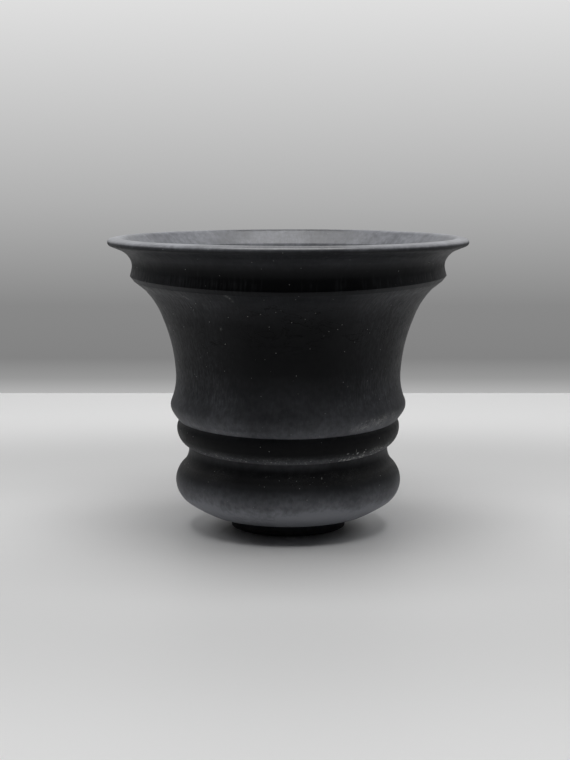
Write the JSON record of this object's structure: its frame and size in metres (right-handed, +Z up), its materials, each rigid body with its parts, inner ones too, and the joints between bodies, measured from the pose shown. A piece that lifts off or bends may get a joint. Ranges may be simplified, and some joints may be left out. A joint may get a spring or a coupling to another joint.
{
  "type": "clay pot",
  "caption": "Wide-mouthed black clay pot with a flared wall, a collar band under a round lip, two beads and a swelling base on a set-back foot ring.",
  "frame": {"origin": "centre of the foot's resting plane, on the turning axis", "axes": "+Z up along the turning axis, towards the mouth"},
  "size_m": [0.28, 0.28, 0.2282],
  "materials": {
    "smoked_clay": "semi-matte, smoke-fired black with fine turning streaks",
    "rim_clay": "semi-matte, lightly burnished and dusty on top",
    "inner_clay": "matte, finger-smoothed",
    "scraped_clay": "matte, scraped"
  },
  "bodies": {
    "root": {"foot_ring": "scraped_clay", "floor_disc": "inner_clay", "floor_seam_coil": "inner_clay", "base_bowl": "smoked_clay", "middle_bead": "smoked_clay", "flared_wall": "smoked_clay", "collar_band": "smoked_clay", "rim_ring": "rim_clay"}
  },
  "joints": []
}
